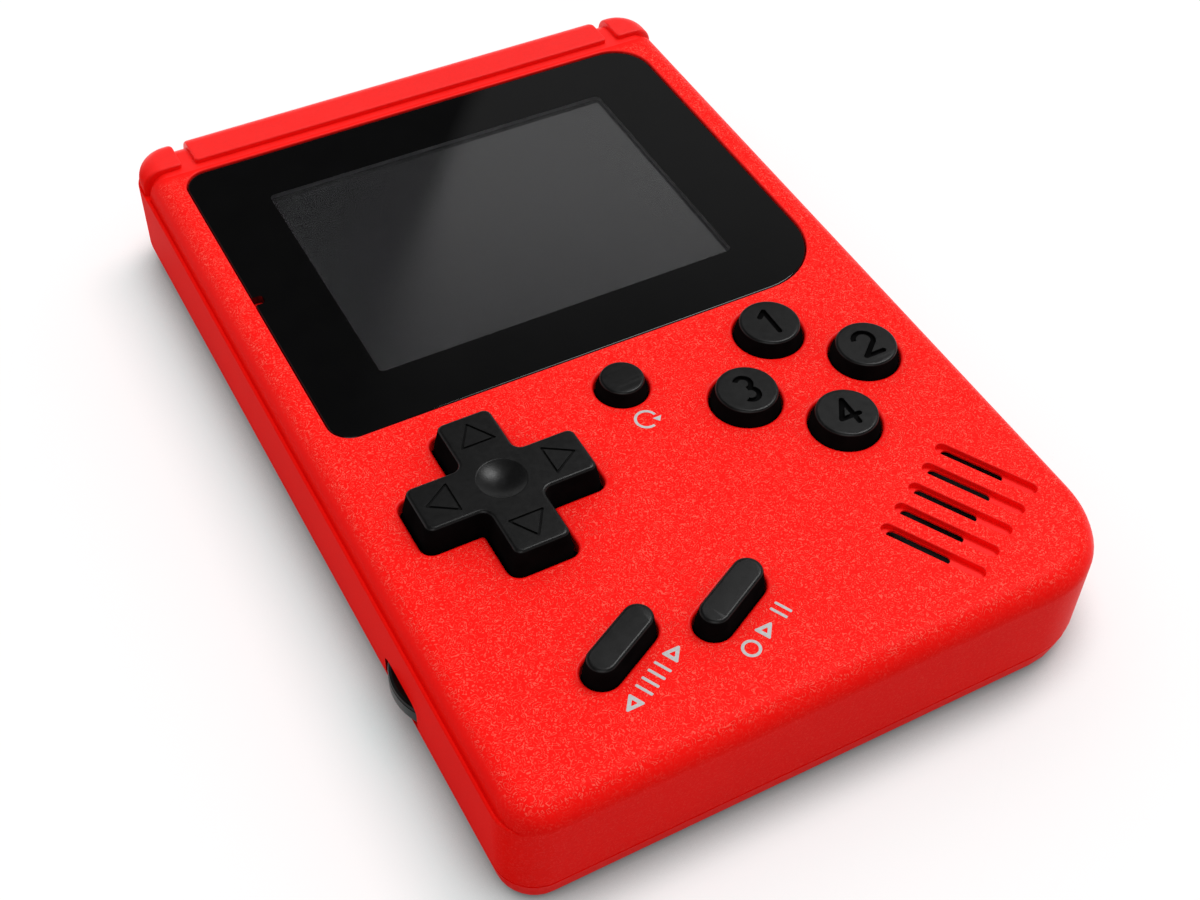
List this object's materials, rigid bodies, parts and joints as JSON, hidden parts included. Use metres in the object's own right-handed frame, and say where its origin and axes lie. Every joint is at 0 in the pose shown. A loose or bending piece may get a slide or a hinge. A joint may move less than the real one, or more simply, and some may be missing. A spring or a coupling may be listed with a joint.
{
  "type": "handheld game console",
  "caption": "Pocket game console lying on its back: grained shell, lensed screen, direction pad, round and pill buttons, slanted speaker slots, side thumb wheel and a battery bay.",
  "frame": {"origin": "middle of the back face's box, on the surface it lies on", "axes": "+X across the width, +Y up the face to the top strip, +Z out of the face"},
  "size_m": [0.0818, 0.12, 0.02],
  "materials": {
    "shell": "moulded red ABS, fine leather grain on the face, satin on the sides",
    "keys": "satin black",
    "lens": "clear acrylic with a black printed border",
    "panel": "dark unlit screen",
    "carrier": "white moulded frame",
    "ribbon": "amber film",
    "board": "green solder mask",
    "chips": "black epoxy",
    "rubber": "grey silicone",
    "steel": "plated",
    "cone": "pressed paper",
    "leads": "insulated wire",
    "cell": "wrapped cell",
    "contacts": "plated springs"
  },
  "bodies": {
    "case": {"front_shell": "shell", "rear_shell": "shell", "screen_lens": "lens", "lcd_panel": "panel", "lcd_carrier": "carrier", "lcd_ribbon": "ribbon", "main_board": "board", "main_chip": "chips", "memory_chip": "chips", "volume_pot": "chips", "av_jack": "chips", "pad_post": "rubber", "pad_membrane": "rubber", "action_membrane": "rubber", "reset_membrane": "rubber", "menu_membrane": "rubber", "speaker_gasket": "rubber", "speaker_basket": "steel", "wheel_screw": "steel", "power_switch": "steel", "usb_socket": "steel", "case_screws": "steel", "board_screws": "steel", "speaker_cone": "cone", "speaker_leads": "leads", "battery": "cell", "battery_contacts": "contacts"},
    "pad_pivot": {"pad_ball": "steel"},
    "pad": {"pad": "keys"},
    "button_top": {"button_top": "keys"},
    "button_right": {"button_right": "keys"},
    "button_left": {"button_left": "keys"},
    "button_bottom": {"button_bottom": "keys"},
    "reset_button": {"reset_button": "keys"},
    "select_button": {"select_button": "keys"},
    "start_button": {"start_button": "keys"},
    "volume_wheel": {"volume_wheel": "keys"},
    "power_knob": {"power_knob": "keys"},
    "battery_door": {"battery_door": "shell"}
  },
  "joints": [
    {"name": "pad_rock_up_down", "type": "hinge", "parent": "case", "child": "pad_pivot", "pos_m": [-0.02128, -0.0198, 0.013], "axis": [1, 0, 0], "range_deg": [-4, 4], "stiffness_Nm_per_rad": 0.14},
    {"name": "pad_rock_left_right", "type": "hinge", "parent": "pad_pivot", "child": "pad", "pos_m": [-0.02128, -0.0198, 0.013], "axis": [0, 1, 0], "range_deg": [-4, 4], "stiffness_Nm_per_rad": 0.14},
    {"name": "button_top_press", "type": "slide", "parent": "case", "child": "button_top", "axis": [0, 0, -1], "range_m": [0, 0.001], "stiffness_N_per_m": 600},
    {"name": "button_right_press", "type": "slide", "parent": "case", "child": "button_right", "axis": [0, 0, -1], "range_m": [0, 0.001], "stiffness_N_per_m": 600},
    {"name": "button_left_press", "type": "slide", "parent": "case", "child": "button_left", "axis": [0, 0, -1], "range_m": [0, 0.001], "stiffness_N_per_m": 600},
    {"name": "button_bottom_press", "type": "slide", "parent": "case", "child": "button_bottom", "axis": [0, 0, -1], "range_m": [0, 0.001], "stiffness_N_per_m": 600},
    {"name": "reset_button_press", "type": "slide", "parent": "case", "child": "reset_button", "axis": [0, 0, -1], "range_m": [0, 0.001], "stiffness_N_per_m": 600},
    {"name": "select_button_press", "type": "slide", "parent": "case", "child": "select_button", "axis": [0, 0, -1], "range_m": [0, 0.001], "stiffness_N_per_m": 600},
    {"name": "start_button_press", "type": "slide", "parent": "case", "child": "start_button", "axis": [0, 0, -1], "range_m": [0, 0.001], "stiffness_N_per_m": 600},
    {"name": "volume_turn", "type": "hinge", "parent": "case", "child": "volume_wheel", "pos_m": [-0.0334, -0.03168, 0.0055], "axis": [0, 0, 1], "range_deg": [-135, 135]},
    {"name": "power_slide", "type": "slide", "parent": "case", "child": "power_knob", "axis": [0, 1, 0], "range_m": [0, 0.004]},
    {"name": "door_swing", "type": "hinge", "parent": "case", "child": "battery_door", "pos_m": [0, 0.01925, 0], "axis": [1, 0, 0], "range_deg": [0, 60]}
  ]
}
